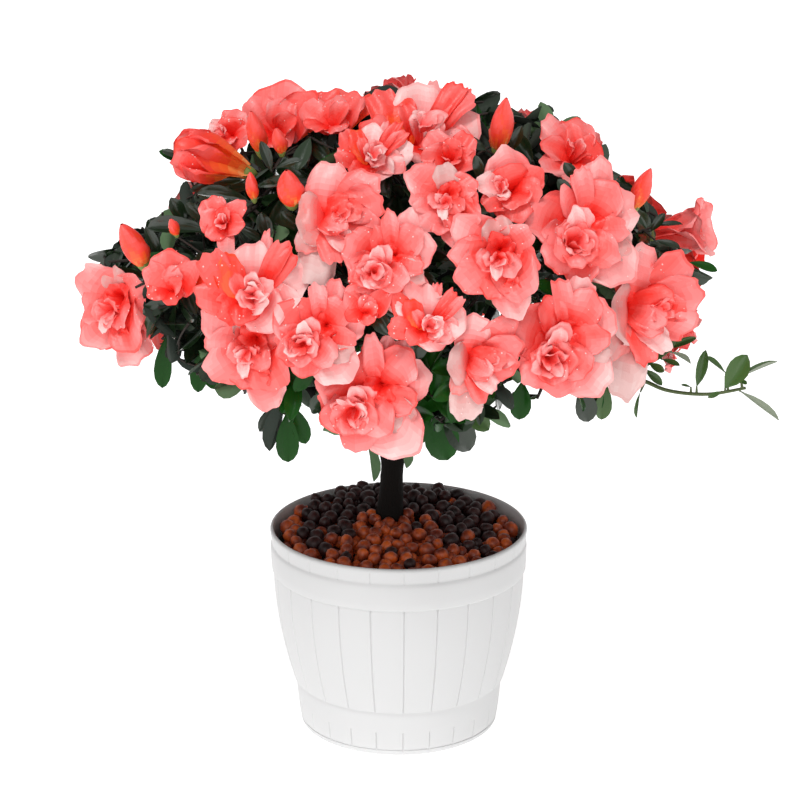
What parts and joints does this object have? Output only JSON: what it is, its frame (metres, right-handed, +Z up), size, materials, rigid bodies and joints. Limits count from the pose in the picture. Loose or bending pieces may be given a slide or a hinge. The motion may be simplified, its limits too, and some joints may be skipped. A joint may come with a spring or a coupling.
{
  "type": "potted azalea",
  "caption": "Small azalea with a bare trunk and a domed crown of double blooms, in a staved plastic pot filled with clay pebbles.",
  "frame": {"origin": "centre of the pot's flat underside, on the surface that it stands on", "axes": "+Z up; -Y towards the front, which the picture shows; +X to the right, where the long shoot is"},
  "size_m": [0.5055, 0.3984, 0.5098],
  "materials": {
    "white_plastic": "satin",
    "clay_pebbles": "matte",
    "bark": "matte",
    "foliage": "matte"
  },
  "bodies": {
    "root": {"pot": "white_plastic", "pebble_fill": "clay_pebbles", "trunk": "bark", "bough_far_left": "bark", "bough_low_front": "bark", "bough_far_right": "bark", "bough_back_left": "bark", "bough_back_right": "bark", "bough_top": "bark", "bough_left": "bark", "bough_upper_left": "bark", "bough_low_left": "bark", "bough_centre": "bark", "bough_low_right": "bark", "bough_right": "bark", "bough_lower_right": "bark", "bough_right_shoot": "bark", "bough_top_right": "bark", "bough_centre_right": "bark", "bough_centre_left": "bark", "bough_top_left": "bark", "bough_back_top": "bark", "bough_top_back_right": "bark", "bough_low_back_left": "bark", "bough_upper_back_left": "bark", "bough_back": "bark", "bough_low_back_right": "bark", "bough_upper_back_right": "bark", "foliage_far_left": "foliage", "foliage_low_front": "foliage", "foliage_far_right": "foliage", "foliage_back_left": "foliage", "foliage_back_right": "foliage", "foliage_top": "foliage", "foliage_left": "foliage", "foliage_upper_left": "foliage", "foliage_low_left": "foliage", "foliage_centre": "foliage", "foliage_low_right": "foliage", "foliage_right": "foliage", "foliage_lower_right": "foliage", "foliage_right_shoot": "foliage", "foliage_top_right": "foliage", "foliage_centre_right": "foliage", "foliage_centre_left": "foliage", "foliage_top_left": "foliage", "foliage_back_top": "foliage", "foliage_top_back_right": "foliage", "foliage_low_back_left": "foliage", "foliage_upper_back_left": "foliage", "foliage_back": "foliage", "foliage_low_back_right": "foliage", "foliage_upper_back_right": "foliage"}
  },
  "joints": []
}
